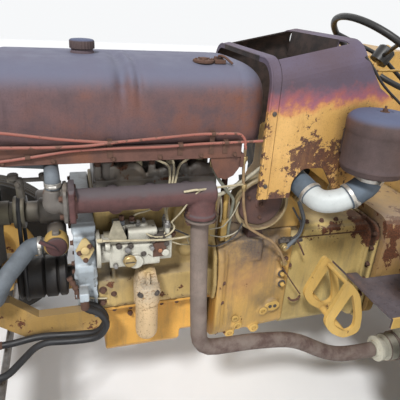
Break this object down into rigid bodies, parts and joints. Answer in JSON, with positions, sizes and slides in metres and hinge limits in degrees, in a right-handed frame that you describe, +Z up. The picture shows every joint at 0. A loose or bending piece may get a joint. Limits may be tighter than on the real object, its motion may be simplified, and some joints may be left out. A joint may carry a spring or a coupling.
{
  "type": "vintage utility tractor",
  "caption": "Old yellow utility tractor with bonnet off: open diesel engine, rusty tank and cowl, low exhaust, lugged rear tyres and steered front wheels.",
  "frame": {"origin": "on the ground, under the middle of the overall length and width", "axes": "+X forward to the radiator, +Y to the left side, +Z up"},
  "size_m": [2.9288, 1.76, 1.4815],
  "materials": {
    "yellow_paint": "faded matte paint with rust showing through",
    "pale_yellow_paint": "faded greasy paint on castings",
    "rusty_iron": "rust all over",
    "tank_brown": "weathered primer and surface rust",
    "cowl_paint": "yellow paint rusting to brown at the top",
    "grey_iron": "bare casting with grease",
    "pale_alloy": "bare cast alloy",
    "bright_steel": "dull bare steel",
    "black_paint": "worn black paint",
    "cream_paint": "chalky heat-bleached paint",
    "white_elbow": "scuffed white",
    "grey_rubber": "perished rubber",
    "tyre_rubber": "dusty worn rubber",
    "seat_cover": "cracked seat covering",
    "copper_lines": "dull orange pipes"
  },
  "bodies": {
    "chassis": {"engine_block": "yellow_paint", "cylinder_head": "grey_iron", "sump": "yellow_paint", "timing_cover": "pale_alloy", "injection_pump": "pale_alloy", "injector_pipes": "cream_paint", "headlamps": "yellow_paint", "oil_filter": "pale_yellow_paint", "exhaust_manifold": "rusty_iron", "exhaust_pipe": "rusty_iron", "muffler": "cream_paint", "water_pump": "grey_iron", "fan": "grey_iron", "belt_drive": "black_paint", "radiator": "black_paint", "front_shell": "yellow_paint", "hoses": "grey_rubber", "fuel_tank": "tank_brown", "tank_tray": "rusty_iron", "fuel_lines": "copper_lines", "cowl": "cowl_paint", "air_cleaner": "rusty_iron", "intake_elbow": "white_elbow", "steering_drum": "rusty_iron", "steering_column": "grey_iron", "clutch_housing": "yellow_paint", "gearbox": "pale_yellow_paint", "axle_housing": "pale_yellow_paint", "drawbar": "rusty_iron", "footplates": "tank_brown", "pedal_brackets": "yellow_paint", "fenders": "yellow_paint", "seat": "seat_cover", "front_bolster": "yellow_paint", "front_axle": "yellow_paint", "steering_cylinder": "black_paint"},
    "steering_wheel": {"steering_wheel": "black_paint"},
    "knuckle_left": {"knuckle_left": "yellow_paint"},
    "knuckle_right": {"knuckle_right": "yellow_paint"},
    "tie_rod": {"tie_rod": "bright_steel"},
    "steering_rod": {"steering_rod": "bright_steel"},
    "front_wheel_left": {"front_rim_left": "yellow_paint", "front_tyre_left": "tyre_rubber"},
    "front_wheel_right": {"front_rim_right": "yellow_paint", "front_tyre_right": "tyre_rubber"},
    "rear_wheel_left": {"rear_rim_left": "yellow_paint", "rear_tyre_left": "tyre_rubber"},
    "rear_wheel_right": {"rear_rim_right": "yellow_paint", "rear_tyre_right": "tyre_rubber"}
  },
  "joints": [
    {"name": "rear_wheel_left_spin", "type": "hinge", "parent": "chassis", "child": "rear_wheel_left", "pos_m": [-0.845, 0.72, 0.62], "axis": [0, 1, 0], "continuous": true},
    {"name": "rear_wheel_right_spin", "type": "hinge", "parent": "chassis", "child": "rear_wheel_right", "pos_m": [-0.845, -0.72, 0.62], "axis": [0, 1, 0], "continuous": true},
    {"name": "knuckle_left_turn", "type": "hinge", "parent": "chassis", "child": "knuckle_left", "pos_m": [1.105, 0.51, 0.46], "axis": [0, 0, 1], "range_deg": [-35, 35]},
    {"name": "knuckle_right_turn", "type": "hinge", "parent": "chassis", "child": "knuckle_right", "pos_m": [1.105, -0.51, 0.46], "axis": [0, 0, 1], "range_deg": [-35, 35]},
    {"name": "front_wheel_left_spin", "type": "hinge", "parent": "knuckle_left", "child": "front_wheel_left", "pos_m": [1.105, 0.65, 0.36], "axis": [0, 1, 0], "continuous": true},
    {"name": "front_wheel_right_spin", "type": "hinge", "parent": "knuckle_right", "child": "front_wheel_right", "pos_m": [1.105, -0.65, 0.36], "axis": [0, 1, 0], "continuous": true},
    {"name": "tie_rod_pivot", "type": "hinge", "parent": "knuckle_left", "child": "tie_rod", "pos_m": [0.945, 0.51, 0.403], "axis": [0, 0, 1], "range_deg": [-35, 35]},
    {"name": "steering_rod_slide", "type": "slide", "parent": "chassis", "child": "steering_rod", "axis": [0, 1, 0], "range_m": [-0.092, 0.092]},
    {"name": "steering_wheel_turn", "type": "hinge", "parent": "chassis", "child": "steering_wheel", "pos_m": [-0.35, 0, 1.35], "axis": [-0.5878, 0, 0.809], "range_deg": [-530, 530]}
  ],
  "couplings": [
    {"joint": "knuckle_right_turn", "follows": "knuckle_left_turn", "ratio": 1},
    {"joint": "tie_rod_pivot", "follows": "knuckle_left_turn", "ratio": -1},
    {"joint": "steering_rod_slide", "follows": "knuckle_left_turn", "m_per_rad": -0.15},
    {"joint": "steering_wheel_turn", "follows": "knuckle_left_turn", "ratio": 15}
  ]
}
